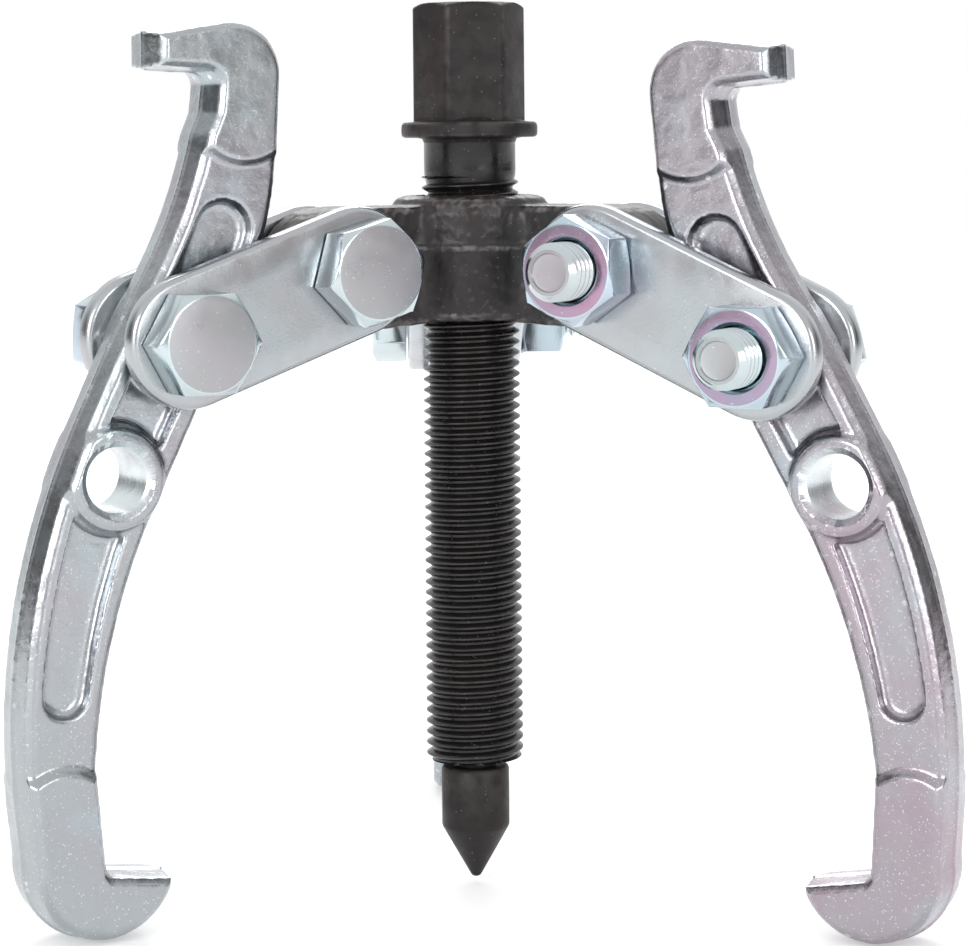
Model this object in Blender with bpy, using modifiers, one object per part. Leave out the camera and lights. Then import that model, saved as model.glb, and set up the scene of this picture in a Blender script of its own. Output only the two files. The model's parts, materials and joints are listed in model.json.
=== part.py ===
"""A three-jaw gear puller that stands on its own jaws.

A threaded yoke carries three arms at 120 degrees. Each arm is a pair of strap links bolted to a lug
of the yoke, with a double-ended jaw bolted between their lower ends. The forcing screw runs down
through the yoke and turns on a separate centre point.

The origin is the flat end of the centre point, +Z runs up along the screw, and the sizes below are
in millimetres.
"""

import math

import bmesh
import bpy
from mathutils import Matrix

MM = 0.001

# Fits
TOUCH_GAP = 0.3  # between pieces that bear on each other
BORE_GAP = 0.3  # all round, between a pin or thread and its hole

# Forcing screw: heights above the end of its point
HEX_ACROSS_FLATS = 14.0
HEX_TOP = 123.0
HEX_CHAMFER = 0.9
HEX_TURN = 5.0  # degrees from square to the front
FLANGE_TOP = 106.3
FLANGE_BOTTOM = 104.1
FLANGE_RADIUS = 9.6
THREAD_TOP = 99.5
THREAD_RADIUS = 6.8
THREAD_RISE = 0.35  # of the rolled crests above the plain shank
THREAD_BOTTOM = 17.3
SCREW_END = 16.05
SCREW_END_TAPER = 1.3

# Centre point: a stem in the end of the screw, a reduced neck and a 60 degree cone
POINT_NECK_RADIUS = 4.75
POINT_CONE_HEIGHT = 7.36
POINT_TIP_RADIUS = 0.6
POINT_STEM_RADIUS = 3.0
POINT_STEM_LENGTH = 12.0
POINT_COLLAR_CHAMFER = 0.5

# Eyes: the yoke's lugs and the jaws' pads and bosses, which the straps clasp
EYE_HALF_THICKNESS = 5.2

# Yoke
BARREL_RADIUS = 11.4
BARREL_TOP = 96.05
BARREL_BOTTOM = 78.6
BARREL_ROUNDING = 1.6
LUG_END_RADIUS = 8.6
LUG_FILLET = 4.0
LUG_EDGE = 0.8
LUG_PIN_REACH = 22.7  # screw axis to the bolt through a lug
LUG_PIN_HEIGHT = 86.18

# M8 bolts and nuts
BOLT_RADIUS = 3.95
BOLT_PROUD = 5.0  # bolt end past the nut
BOLT_END_CHAMFER = 0.9
HEAD_ACROSS_FLATS = 13.0
HEAD_HEIGHT = 5.3
NUT_HEIGHT = 6.5
NUT_COUNTERSINK = 0.6
HEX_FACE_CHAMFER = 0.5

# Strap links
STRAP_PITCH = 26.35  # between the two bolt holes
STRAP_END_RADIUS = 8.8
STRAP_THICKNESS = 3.2
STRAP_EDGE = 0.8

# Jaws, drawn from the bolt hole: u runs outwards, v runs up
ARM_HALF_THICKNESS = 4.0  # over the plain stretches of the arm
JAW_EDGE = 0.9
UPPER_REACH = 36.1  # bolt hole to the grip face of the upper hook
UPPER_HOOK_END = 2.5  # the hook's end stands this far out from the bolt hole
UPPER_HOOK_LENGTH = 8.7  # grip face of the upper hook, out from its root
HOOK_CORNER_RADIUS = 2.2
UPPER_HOOK_DEPTH = 4.25
UPPER_BACK_RADIUS = 6.95
LOWER_REACH = 70.15  # bolt hole to the grip face of the lower hook
LOWER_HOOK_LENGTH = 9.1
HEEL_RADIUS = 9.8
BOSS_RADIUS = 7.0
SPARE_HOLE = (9.13, -17.65)  # a second bolt hole, for a wider reach
UPPER_PAD_RADIUS = 7.5
LOWER_PAD_RADIUS = 6.7
POCKET_DEPTH = 1.3
POCKET_SLOPE = 1.0
POCKET_HALF_WIDTH = 3.9
POCKET_TOP = (-6.75, 14.4)
POCKET_FOOT_RISE = 26.0  # lower grip face to the round foot of the pocket
POCKET_FOOT_REACH = 16.3

# Arms: azimuth of the arm, drop of its links below level, and swing of its jaw foot outwards
ARMS = {
    "left": {"azimuth": 210.0, "drop": 18.7, "swing": 0.0},
    "right": {"azimuth": 330.0, "drop": 24.4, "swing": 2.4},
    "rear": {"azimuth": 90.0, "drop": 21.5, "swing": 1.2},
}

# How far each bolt head and nut is turned from square to its strap, in degrees
HEX_TURNS = {
    "left_yoke_bolt": -4.0,
    "left_yoke_nut": 20.0,
    "left_jaw_bolt": 41.0,
    "left_jaw_nut": 8.0,
    "right_yoke_bolt": 12.0,
    "right_yoke_nut": 0.6,
    "right_jaw_bolt": 50.0,
    "right_jaw_nut": 35.6,
    "rear_yoke_bolt": 27.0,
    "rear_yoke_nut": 14.0,
    "rear_jaw_bolt": 5.0,
    "rear_jaw_nut": 48.0,
}

# Colour, roughness and metallic value of each finish
FINISHES = {
    "yoke_black": ((0.045, 0.043, 0.047), 0.36, 0.85),
    "screw_black": ((0.060, 0.058, 0.060), 0.32, 0.85),
    "jaw_zinc": ((0.560, 0.560, 0.600), 0.38, 1.0),
    "strap_zinc": ((0.500, 0.510, 0.540), 0.34, 1.0),
    "bolt_zinc": ((0.600, 0.640, 0.670), 0.30, 1.0),
    "nut_zinc": ((0.600, 0.600, 0.680), 0.28, 1.0),
}

ROUND_STEPS = 32
PIN_STEPS = 16
CUT_MARGIN = 2.0  # a cutter's overrun past the faces it cuts through


# Scene helpers


def clear_scene():
    for item in list(bpy.data.objects):
        bpy.data.objects.remove(item, do_unlink=True)


def new_collection(name):
    collection = bpy.data.collections.new(name)
    bpy.context.scene.collection.children.link(collection)
    return collection


def make_finish(name):
    colour, roughness, metallic = FINISHES[name]
    finish = bpy.data.materials.new(name)
    finish.use_nodes = True
    shader = finish.node_tree.nodes["Principled BSDF"]
    shader.inputs["Base Color"].default_value = (*colour, 1.0)
    shader.inputs["Roughness"].default_value = roughness
    shader.inputs["Metallic"].default_value = metallic
    return finish


def helper_object(name, mesh):
    """A shape that other shapes are cut or joined with; it is not a piece of the object."""
    helper = bpy.data.objects.new(name, mesh)
    cutters.objects.link(helper)
    helper.hide_render = True
    helper.display_type = "WIRE"
    return helper


def place(name, mesh, parent, location=(0, 0, 0), turn=(0, 0, 0)):
    """One named piece, at its place in millimetres and degrees under its parent."""
    piece = bpy.data.objects.new(name, mesh)
    parts.objects.link(piece)
    piece.parent = parent
    piece.location = [value * MM for value in location]
    piece.rotation_euler = [math.radians(value) for value in turn]
    return piece


def pivot(name, parent, location, turn):
    frame = place(name, None, parent, location, turn)
    frame.empty_display_size = 5 * MM
    return frame


# Outline helpers, in millimetres on a plane


def arc(centre, radius, start, end, steps=6):
    """Points on a circle between two angles in degrees, both ends included."""
    angles = [math.radians(start + (end - start) * step / steps) for step in range(steps + 1)]
    return [(centre[0] + radius * math.cos(a), centre[1] + radius * math.sin(a)) for a in angles]


def circle(centre, radius, steps=PIN_STEPS):
    return arc(centre, radius, 0, 360, steps)[:-1]


def bow(start, end, radius, steps=5):
    """An arc between two points. With a positive radius it turns left on the way from start to end."""
    along = (end[0] - start[0], end[1] - start[1])
    chord = math.hypot(*along)
    side = math.copysign(1, radius)
    offset = side * math.sqrt(radius**2 - chord**2 / 4)
    centre = (
        (start[0] + end[0]) / 2 - along[1] / chord * offset,
        (start[1] + end[1]) / 2 + along[0] / chord * offset,
    )
    first = math.degrees(math.atan2(start[1] - centre[1], start[0] - centre[0]))
    sweep = side * 2 * math.degrees(math.asin(chord / (2 * abs(radius))))
    return arc(centre, abs(radius), first, first + sweep, steps)


def stroke(line, half_width, steps=6):
    """The outline of a band of even width along a line, with round ends."""
    headings = [
        math.degrees(math.atan2(b[1] - a[1], b[0] - a[0]))
        for a, b in zip(line[:-1], line[1:])
    ]
    headings = [headings[0], *headings]
    sides = []
    for turn in (-90, 90):
        sides.append(
            [arc(point, half_width, heading + turn, heading + turn, 1)[0]
             for point, heading in zip(line, headings)]
        )
    foot = arc(line[-1], half_width, headings[-1] - 90, headings[-1] + 90, steps)
    top = arc(line[0], half_width, headings[0] + 90, headings[0] + 270, steps)
    return sides[0][1:-1] + foot + sides[1][-2:0:-1] + top


# Mesh helpers


def shaded(mesh, finish=None):
    mesh.shade_smooth()
    mesh.set_sharp_from_angle(angle=math.radians(35))
    if finish:
        mesh.materials.clear()
        mesh.materials.append(finish)
    return mesh


def evaluated_mesh(item):
    """The shape of an object with its modifiers worked in, welded; the object is removed."""
    graph = bpy.context.evaluated_depsgraph_get()
    mesh = bpy.data.meshes.new_from_object(item.evaluated_get(graph))
    bpy.data.objects.remove(item, do_unlink=True)
    shape = bmesh.new()
    shape.from_mesh(mesh)
    bmesh.ops.remove_doubles(shape, verts=shape.verts, dist=0.001 * MM)
    bmesh.ops.recalc_face_normals(shape, faces=shape.faces)
    shape.to_mesh(mesh)
    shape.free()
    return mesh


def slab(loops, low, high):
    """A plate drawn as one outline and its holes, between two heights along +Z."""
    curve = bpy.data.curves.new("outline", "CURVE")
    curve.dimensions = "2D"
    curve.fill_mode = "BOTH"
    curve.extrude = (high - low) / 2 * MM
    for loop in loops:
        spline = curve.splines.new("POLY")
        spline.points.add(len(loop) - 1)
        for point, (x, y) in zip(spline.points, loop):
            point.co = (x * MM, y * MM, 0, 1)
        spline.use_cyclic_u = True
    drawn = bpy.data.objects.new("outline", curve)
    bpy.context.scene.collection.objects.link(drawn)
    mesh = evaluated_mesh(drawn)
    mesh.transform(Matrix.Translation((0, 0, (low + high) / 2 * MM)))
    shape = bmesh.new()
    shape.from_mesh(mesh)
    bmesh.ops.dissolve_limit(
        shape, angle_limit=math.radians(1), verts=shape.verts, edges=shape.edges
    )
    shape.to_mesh(mesh)
    shape.free()
    return mesh


def turned(profile, steps=ROUND_STEPS):
    """A solid of revolution about Z. The profile of (radius, height) runs down its outer side."""
    points = [(radius * MM, 0, height * MM) for radius, height in profile]
    edges = [(index, index + 1) for index in range(len(points) - 1)]
    if profile[0][0] > 0:
        edges.append((len(points) - 1, 0))
    mesh = bpy.data.meshes.new("profile")
    mesh.from_pydata(points, edges, [])
    lathe = bpy.data.objects.new("profile", mesh)
    bpy.context.scene.collection.objects.link(lathe)
    spin = lathe.modifiers.new("turn", "SCREW")
    spin.steps = steps
    spin.render_steps = steps
    spin.use_merge_vertices = True
    spin.merge_threshold = 0.01 * MM
    return evaluated_mesh(lathe)


def rod(radius, low, high, steps=PIN_STEPS):
    return turned([(0, high), (radius, high), (radius, low), (0, low)], steps)


def hexagon(across_flats, low, high):
    """A hexagonal bar along Z with a pair of flats square to Y."""
    shape = bmesh.new()
    corner = across_flats / 2 / math.cos(math.radians(30)) * MM
    bmesh.ops.create_cone(
        shape,
        cap_ends=True,
        segments=6,
        radius1=corner,
        radius2=corner,
        depth=(high - low) * MM,
        matrix=Matrix.Translation((0, 0, (low + high) / 2 * MM)),
    )
    mesh = bpy.data.meshes.new("hexagon")
    shape.to_mesh(mesh)
    shape.free()
    mesh.transform(Matrix.Rotation(math.radians(30), 4, "Z"))
    return mesh


def boolean(item, operation, helper):
    step = item.modifiers.new(helper.name, "BOOLEAN")
    step.operation = operation
    step.solver = "EXACT"
    step.object = helper


def bevel(item, width, segments=1):
    rounding = item.modifiers.new("edges", "BEVEL")
    rounding.width = width * MM
    rounding.segments = segments
    rounding.limit_method = "ANGLE"
    rounding.angle_limit = math.radians(50)
    rounding.use_clamp_overlap = False


def combined(mesh, steps, edge=0.0):
    """A mesh with its edges broken, then cut and joined with others in order, made one mesh."""
    blank = bpy.data.objects.new("blank", mesh)
    bpy.context.scene.collection.objects.link(blank)
    if edge:
        bevel(blank, edge)
    helpers = [helper_object(f"{operation}_{index}", other)
               for index, (operation, other) in enumerate(steps)]
    for (operation, _), helper in zip(steps, helpers):
        boolean(blank, operation, helper)
    result = evaluated_mesh(blank)
    for helper in helpers:
        bpy.data.objects.remove(helper, do_unlink=True)
    return result


def moved(mesh, matrix):
    mesh.transform(matrix)
    return mesh


ON_EDGE = Matrix.Rotation(math.radians(90), 4, "X")  # a drawing's Y becomes up, its Z becomes -Y


def shifted(x, y, z):
    return Matrix.Translation((x * MM, y * MM, z * MM))


# Pieces


def chamfer_blank(across_flats, low, high, chamfers, reach):
    """A disc that breaks the corners of a hexagon where it is intersected with it."""
    corner = across_flats / 2 / math.cos(math.radians(30)) + reach
    flat = across_flats / 2 - reach / 4
    drop = (corner - flat) * math.tan(math.radians(30))
    profile = [(0, high)]
    profile += [(flat, high), (corner, high - drop)] if "top" in chamfers else [(corner, high)]
    profile += [(corner, low + drop), (flat, low)] if "bottom" in chamfers else [(corner, low)]
    return turned([*profile, (0, low)], ROUND_STEPS)


def bolt_mesh():
    """An M8 bolt along Z: the head rests on the upper strap, the end stands out past the nut."""
    seat = EYE_HALF_THICKNESS + STRAP_THICKNESS + 2 * TOUCH_GAP
    end = -(seat + NUT_HEIGHT + BOLT_PROUD)
    top = seat + HEAD_HEIGHT
    shank = turned(
        [
            (0, top - HEAD_HEIGHT / 2),
            (BOLT_RADIUS, top - HEAD_HEIGHT / 2),
            (BOLT_RADIUS, end + BOLT_END_CHAMFER),
            (BOLT_RADIUS - BOLT_END_CHAMFER, end),
            (0, end),
        ],
        PIN_STEPS,
    )
    steps = [
        ("INTERSECT", chamfer_blank(HEAD_ACROSS_FLATS, seat, top, ("top",), HEX_FACE_CHAMFER)),
        ("UNION", shank),
    ]
    return combined(hexagon(HEAD_ACROSS_FLATS, seat - 1, top + 1), steps)


def nut_mesh():
    """An M8 nut along Z, chamfered on both faces, with its threads' crests as a plain bore."""
    top = -(EYE_HALF_THICKNESS + STRAP_THICKNESS + 2 * TOUCH_GAP)
    bottom = top - NUT_HEIGHT
    bore = BOLT_RADIUS + BORE_GAP
    mouth = bore + NUT_COUNTERSINK
    cutter = turned(
        [
            (0, top + CUT_MARGIN),
            (mouth + CUT_MARGIN, top + CUT_MARGIN),
            (bore, top - NUT_COUNTERSINK),
            (bore, bottom + NUT_COUNTERSINK),
            (mouth + CUT_MARGIN, bottom - CUT_MARGIN),
            (0, bottom - CUT_MARGIN),
        ],
        PIN_STEPS,
    )
    blank = chamfer_blank(HEAD_ACROSS_FLATS, bottom, top, ("top", "bottom"), HEX_FACE_CHAMFER)
    steps = [("INTERSECT", blank), ("DIFFERENCE", cutter)]
    return combined(hexagon(HEAD_ACROSS_FLATS, bottom - 1, top + 1), steps)


def strap_mesh():
    """A flat link along +X from its yoke hole, on edge, half its thickness each side of Y = 0."""
    far = (STRAP_PITCH, 0)
    outline = arc(far, STRAP_END_RADIUS, -90, 90, 8) + arc((0, 0), STRAP_END_RADIUS, 90, 270, 8)
    half = STRAP_THICKNESS / 2
    hole = BOLT_RADIUS + BORE_GAP
    plate = combined(slab([outline], -half, half), [], edge=STRAP_EDGE)
    drills = [
        ("DIFFERENCE", moved(rod(hole, -half - CUT_MARGIN, half + CUT_MARGIN), shifted(x, 0, 0)))
        for x in (0, STRAP_PITCH)
    ]
    return moved(combined(plate, drills), ON_EDGE)


def jaw_outline():
    """The jaw's profile from the end of the upper hook, down its inner side and up its outer side."""
    root = UPPER_HOOK_END - UPPER_HOOK_LENGTH + HOOK_CORNER_RADIUS
    back = (-8.3, UPPER_REACH - 1.0)
    foot = -LOWER_REACH
    heel = (10.8, foot + 2.95)
    tip = heel[0] - 9.0
    return [
        (UPPER_HOOK_END, UPPER_REACH),
        (UPPER_HOOK_END, UPPER_REACH + UPPER_HOOK_DEPTH),
        *arc(back, UPPER_BACK_RADIUS, 81, 183, 7),
        *bow((-14.8, UPPER_REACH - 9.8), (-12.6, 12.3), 40, 3),
        (-2.4, -10.3),
        *bow((1.6, -18.2), (12.2, foot + 13.75), -85, 5),
        (11.2, foot + 3.35),
        (10.9, foot + 1.85),
        (tip + LOWER_HOOK_LENGTH - 0.6, foot + 1.15),
        (tip, foot),
        *arc(heel, HEEL_RADIUS, 205, 364, 11),
        *bow((21.4, foot + 10.75), (12.8, -11.0), 90, 6),
        (8.6, -2.3),
        *bow((1.4, 11.0), (-4.5, UPPER_REACH - 9.1), -65, 3),
        (root - 1.8, UPPER_REACH - 6.1),
        *arc((root, UPPER_REACH - 2.5), HOOK_CORNER_RADIUS, 180, 90, 3),
    ]


def relief_mesh(level):
    """The space above the plain stretches of the arm, between the pads and round the bosses."""
    wide = 40
    upper = (-9.9, UPPER_REACH - 4.9)
    lower = (16.9, -LOWER_REACH + 8.45)
    outline = [
        (wide, lower[1]),
        (wide, upper[1]),
        *arc(upper, UPPER_PAD_RADIUS, 0, -180, 12),
        (-wide, upper[1]),
        (-wide, lower[1]),
        *arc(lower, LOWER_PAD_RADIUS, 180, 0, 10),
    ]
    bosses = [circle((0, 0), BOSS_RADIUS, 24), circle(SPARE_HOLE, BOSS_RADIUS, 24)]
    return slab([outline, *bosses], level, EYE_HALF_THICKNESS + CUT_MARGIN)


def pocket_mesh(level):
    """The forged pockets of one face, with sloping walls, left solid round the two bosses."""
    foot = (POCKET_FOOT_REACH, -LOWER_REACH + POCKET_FOOT_RISE)
    line = [POCKET_TOP, (0, 0), *bow(SPARE_HOLE, foot, -90, 5)]
    top = EYE_HALF_THICKNESS + CUT_MARGIN
    band = combined(slab([stroke(line, POCKET_HALF_WIDTH)], level, top), [], edge=POCKET_SLOPE)
    posts = [
        ("DIFFERENCE", moved(rod(BOSS_RADIUS + 0.3, 0, top + 1, 20), shifted(x, y, 0)))
        for x, y in ((0, 0), SPARE_HOLE)
    ]
    return combined(band, posts)


def jaw_mesh():
    """A double-ended jaw on edge: a hook pad at each end, two bosses and pockets in both faces."""
    blank = combined(
        slab([jaw_outline()], -EYE_HALF_THICKNESS, EYE_HALF_THICKNESS), [], edge=JAW_EDGE
    )
    other_face = Matrix.Rotation(math.radians(180), 4, "X") @ Matrix.Scale(-1, 4, (0, 1, 0))
    steps = []
    for face in (Matrix.Identity(4), other_face):
        for cutter in (
            relief_mesh(ARM_HALF_THICKNESS),
            pocket_mesh(ARM_HALF_THICKNESS - POCKET_DEPTH),
        ):
            cutter.transform(face)
            outward(cutter)
            steps.append(("DIFFERENCE", cutter))
    hole = BOLT_RADIUS + BORE_GAP
    depth = EYE_HALF_THICKNESS + CUT_MARGIN
    for x, y in ((0, 0), SPARE_HOLE):
        steps.append(("DIFFERENCE", moved(rod(hole, -depth, depth), shifted(x, y, 0))))
    return moved(combined(blank, steps), ON_EDGE)


def outward(mesh):
    shape = bmesh.new()
    shape.from_mesh(mesh)
    bmesh.ops.recalc_face_normals(shape, faces=shape.faces)
    shape.to_mesh(mesh)
    shape.free()


def yoke_plan():
    """The yoke from above: a round barrel that flows into three straight lugs by fillets."""
    side = EYE_HALF_THICKNESS
    reach = LUG_PIN_REACH + LUG_END_RADIUS + CUT_MARGIN
    centre_side = side + LUG_FILLET
    centre_out = math.sqrt((BARREL_RADIUS + LUG_FILLET) ** 2 - centre_side**2)
    bearing = math.degrees(math.atan2(centre_side, centre_out))
    outline = []
    for arm in sorted(ARMS.values(), key=lambda each: each["azimuth"]):
        turn = math.radians(arm["azimuth"])
        before = arc((centre_out, -centre_side), LUG_FILLET, 180 - bearing, 90, 3)
        after = arc((centre_out, centre_side), LUG_FILLET, 270, 180 + bearing, 3)
        lug = [*before, (reach, -side), (reach, side), *after]
        outline += [
            (x * math.cos(turn) - y * math.sin(turn), x * math.sin(turn) + y * math.cos(turn))
            for x, y in lug
        ]
        start = arm["azimuth"] + bearing
        outline += arc((0, 0), BARREL_RADIUS, start, start + 120 - 2 * bearing, 6)[1:-1]
    return outline


def lug_side_mesh():
    """A lug from its side: level on top, round at its end, reaching in past the barrel's axis."""
    centre = (LUG_PIN_REACH, LUG_PIN_HEIGHT)
    outline = [
        (0, BARREL_BOTTOM),
        *arc(centre, LUG_END_RADIUS, -90, 90, 10),
        (0, LUG_PIN_HEIGHT + LUG_END_RADIUS),
    ]
    width = EYE_HALF_THICKNESS + LUG_FILLET
    return moved(slab([outline], -width, width), ON_EDGE)


def barrel_mesh():
    """The round body of the yoke, with its two rims rounded."""
    rim = BARREL_RADIUS - BARREL_ROUNDING
    top = arc((rim, BARREL_TOP - BARREL_ROUNDING), BARREL_ROUNDING, 90, 0, 3)
    bottom = arc((rim, BARREL_BOTTOM + BARREL_ROUNDING), BARREL_ROUNDING, 0, -90, 3)
    return turned([(0, BARREL_TOP), *top, *bottom, (0, BARREL_BOTTOM)])


def add_yoke(finish):
    envelope = barrel_mesh()
    lugs = []
    for arm in ARMS.values():
        turn = Matrix.Rotation(math.radians(arm["azimuth"]), 4, "Z")
        lugs.append(("UNION", moved(lug_side_mesh(), turn)))
    envelope = combined(envelope, lugs)
    low = BARREL_BOTTOM - CUT_MARGIN
    high = BARREL_TOP + CUT_MARGIN
    body = combined(slab([yoke_plan()], low, high), [("INTERSECT", envelope)], edge=LUG_EDGE)
    yoke = place("yoke", shaded(body, finish), None)
    bore = helper_object("yoke_bore", rod(THREAD_RADIUS + BORE_GAP, low, high, ROUND_STEPS))
    boolean(yoke, "DIFFERENCE", bore)
    depth = EYE_HALF_THICKNESS + CUT_MARGIN
    for name, arm in ARMS.items():
        hole = moved(rod(BOLT_RADIUS + BORE_GAP, -depth, depth), ON_EDGE)
        drill = helper_object(f"{name}_lug_drill", hole)
        turn = Matrix.Rotation(math.radians(arm["azimuth"]), 4, "Z")
        drill.matrix_world = turn @ shifted(LUG_PIN_REACH, 0, LUG_PIN_HEIGHT)
        boolean(yoke, "DIFFERENCE", drill)


def add_screw(finish):
    """The forcing screw: its hexagon joined to a turned body, with a socket for the point's stem."""
    socket = POINT_STEM_RADIUS + BORE_GAP
    shank = THREAD_RADIUS - THREAD_RISE
    body = turned(
        [
            (0, FLANGE_TOP),
            (FLANGE_RADIUS - 0.6, FLANGE_TOP),
            (FLANGE_RADIUS, FLANGE_TOP - 0.6),
            (FLANGE_RADIUS, FLANGE_BOTTOM + 0.5),
            (FLANGE_RADIUS - 0.5, FLANGE_BOTTOM),
            (shank, FLANGE_BOTTOM),
            (shank, THREAD_TOP),
            (THREAD_RADIUS, THREAD_TOP - THREAD_RISE),
            (THREAD_RADIUS, THREAD_BOTTOM),
            (THREAD_RADIUS - SCREW_END_TAPER, SCREW_END),
            (0, SCREW_END),
        ]
    )
    blank = chamfer_blank(HEX_ACROSS_FLATS, FLANGE_BOTTOM + 0.7, HEX_TOP, ("top",), HEX_CHAMFER)
    bar = hexagon(HEX_ACROSS_FLATS, FLANGE_BOTTOM + 0.7, HEX_TOP + 1)
    head = combined(bar, [("INTERSECT", blank)])
    drill_top = SCREW_END + POINT_STEM_LENGTH + TOUCH_GAP
    drill = rod(socket, SCREW_END - CUT_MARGIN, drill_top, ROUND_STEPS)
    mesh = combined(head, [("UNION", body), ("DIFFERENCE", drill)])
    place("forcing_screw", shaded(mesh, finish), None, turn=(0, 0, HEX_TURN))


def add_point(finish):
    """The centre point: it stays still on the work while the screw turns on its stem."""
    shoulder = SCREW_END - TOUCH_GAP
    stem_top = SCREW_END + POINT_STEM_LENGTH
    mesh = turned(
        [
            (0, stem_top),
            (POINT_STEM_RADIUS, stem_top),
            (POINT_STEM_RADIUS, shoulder),
            (POINT_NECK_RADIUS - POINT_COLLAR_CHAMFER, shoulder),
            (POINT_NECK_RADIUS, shoulder - POINT_COLLAR_CHAMFER),
            (POINT_NECK_RADIUS, POINT_CONE_HEIGHT),
            (POINT_TIP_RADIUS, 0),
            (0, 0),
        ],
        24,
    )
    place("centre_point", shaded(mesh, finish), None)


def add_arm(name, arm, meshes):
    """One arm: a pair of straps with their bolts and nuts, hinged on the yoke, and their jaw."""
    azimuth = math.radians(arm["azimuth"])
    hinge = (LUG_PIN_REACH * math.cos(azimuth), LUG_PIN_REACH * math.sin(azimuth), LUG_PIN_HEIGHT)
    arm_frame = pivot(f"{name}_arm_frame", None, hinge, (0, 0, arm["azimuth"]))
    link = pivot(f"{name}_link_pivot", arm_frame, (0, 0, 0), (0, arm["drop"], 0))
    strap_at = EYE_HALF_THICKNESS + TOUCH_GAP + STRAP_THICKNESS / 2
    place(f"{name}_strap_head_side", meshes["strap"], link, (0, strap_at, 0))
    place(f"{name}_strap_nut_side", meshes["strap"], link, (0, -strap_at, 0))
    for where, reach in (("yoke", 0), ("jaw", STRAP_PITCH)):
        for fastener in ("bolt", "nut"):
            piece = f"{name}_{where}_{fastener}"
            place(piece, meshes[fastener], link, (reach, 0, 0), (0, HEX_TURNS[piece], 0))
    jaw_turn = (0, -arm["drop"] - arm["swing"], 0)
    knee = pivot(f"{name}_jaw_pivot", link, (STRAP_PITCH, 0, 0), jaw_turn)
    place(f"{name}_jaw", meshes["jaw"], knee)


clear_scene()
parts = new_collection("gear_puller")
cutters = new_collection("cutters")
finishes = {name: make_finish(name) for name in FINISHES}
bolt_along_y = Matrix.Rotation(math.radians(-90), 4, "X")
arm_meshes = {
    "strap": shaded(strap_mesh(), finishes["strap_zinc"]),
    "bolt": shaded(moved(bolt_mesh(), bolt_along_y), finishes["bolt_zinc"]),
    "nut": shaded(moved(nut_mesh(), bolt_along_y), finishes["nut_zinc"]),
    "jaw": shaded(jaw_mesh(), finishes["jaw_zinc"]),
}
add_yoke(finishes["yoke_black"])
add_screw(finishes["screw_black"])
add_point(finishes["screw_black"])
for arm_name, arm_values in ARMS.items():
    add_arm(arm_name, arm_values, arm_meshes)
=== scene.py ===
# %% [markdown]
# # A three-jaw gear puller
#
# This notebook dresses a plain CAD model of a gear puller. Every CAD piece gets a finer twin that is
# modelled here by the same moves a person would make by hand: draw an outline, extrude it, bevel it,
# cut it with another shape. The twin rides on the same body as the plain piece, so the tool still moves.

# %%
import json
import math

import bpy
from mathutils import Matrix, Vector

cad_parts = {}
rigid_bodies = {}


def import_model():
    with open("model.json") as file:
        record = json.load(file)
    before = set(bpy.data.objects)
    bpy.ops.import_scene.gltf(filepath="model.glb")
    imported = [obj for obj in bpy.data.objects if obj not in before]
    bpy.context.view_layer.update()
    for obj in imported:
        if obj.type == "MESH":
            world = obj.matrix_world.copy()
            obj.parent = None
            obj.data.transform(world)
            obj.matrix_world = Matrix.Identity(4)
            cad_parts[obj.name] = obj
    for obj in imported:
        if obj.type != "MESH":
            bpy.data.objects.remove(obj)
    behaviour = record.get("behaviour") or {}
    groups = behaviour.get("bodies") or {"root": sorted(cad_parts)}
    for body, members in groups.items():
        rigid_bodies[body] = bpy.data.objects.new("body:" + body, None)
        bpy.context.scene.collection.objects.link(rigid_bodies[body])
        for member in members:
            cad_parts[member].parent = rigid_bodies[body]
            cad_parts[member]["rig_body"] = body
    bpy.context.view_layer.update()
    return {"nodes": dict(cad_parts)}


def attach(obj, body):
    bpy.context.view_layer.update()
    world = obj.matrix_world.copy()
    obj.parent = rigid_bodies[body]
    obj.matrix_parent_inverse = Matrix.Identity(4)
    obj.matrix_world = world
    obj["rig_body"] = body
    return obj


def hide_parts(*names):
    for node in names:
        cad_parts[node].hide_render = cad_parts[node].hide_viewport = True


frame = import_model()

# %% [markdown]
# ## Sizes
#
# The sizes are in millimetres and repeat the CAD model's, so the twin of a piece sits where the plain
# one did. Keeping them in one place beats typing them into each step, because a later change of mind
# is then one edit.

# %%
MM = 0.001

HEX_TURN = 5.0
THREAD_RADIUS = 6.8
THREAD_LOW = 16.05
THREAD_HIGH = 98.6
NECK_TOP = 103.6  # the thread's finish ends and the flange's begins here
DRIVE_FLATS = 14.0
DRIVE_TOP = 123.0
POINT_TOP = 7.36  # where the cone meets its cylinder
EYE = 5.2  # half the thickness of a lug, pad or boss
SEAT = 9.0  # under a bolt head, from the middle of the arm
HEAD_TOP = 14.3
NUT_BOTTOM = -15.5
BOLT_END = -20.5
BOLT_RADIUS = 3.95
BOLT_FLATS = 13.0
HOLE_RADIUS = 4.25
STRAP_PITCH = 26.35
STRAP_AT = 7.1  # middle of a strap, from the middle of the arm
STRAP_END = 8.8  # radius of its round ends
LUG_REACH = 22.7
LUG_HEIGHT = 86.18
UPPER_GRIP = 36.1
FOOT = -70.15
SPARE_HOLE = (9.13, -17.65)

ARMS = {
    "left": {"azimuth": 210.0, "drop": 18.7, "swing": 0.0},
    "right": {"azimuth": 330.0, "drop": 24.4, "swing": 2.4},
    "rear": {"azimuth": 90.0, "drop": 21.5, "swing": 1.2},
}
HEX_TURNS = {
    "left": {"yoke": (-4.0, 20.0), "jaw": (41.0, 8.0)},
    "right": {"yoke": (12.0, 0.6), "jaw": (50.0, 35.6)},
    "rear": {"yoke": (27.0, 14.0), "jaw": (5.0, 48.0)},
}

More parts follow.
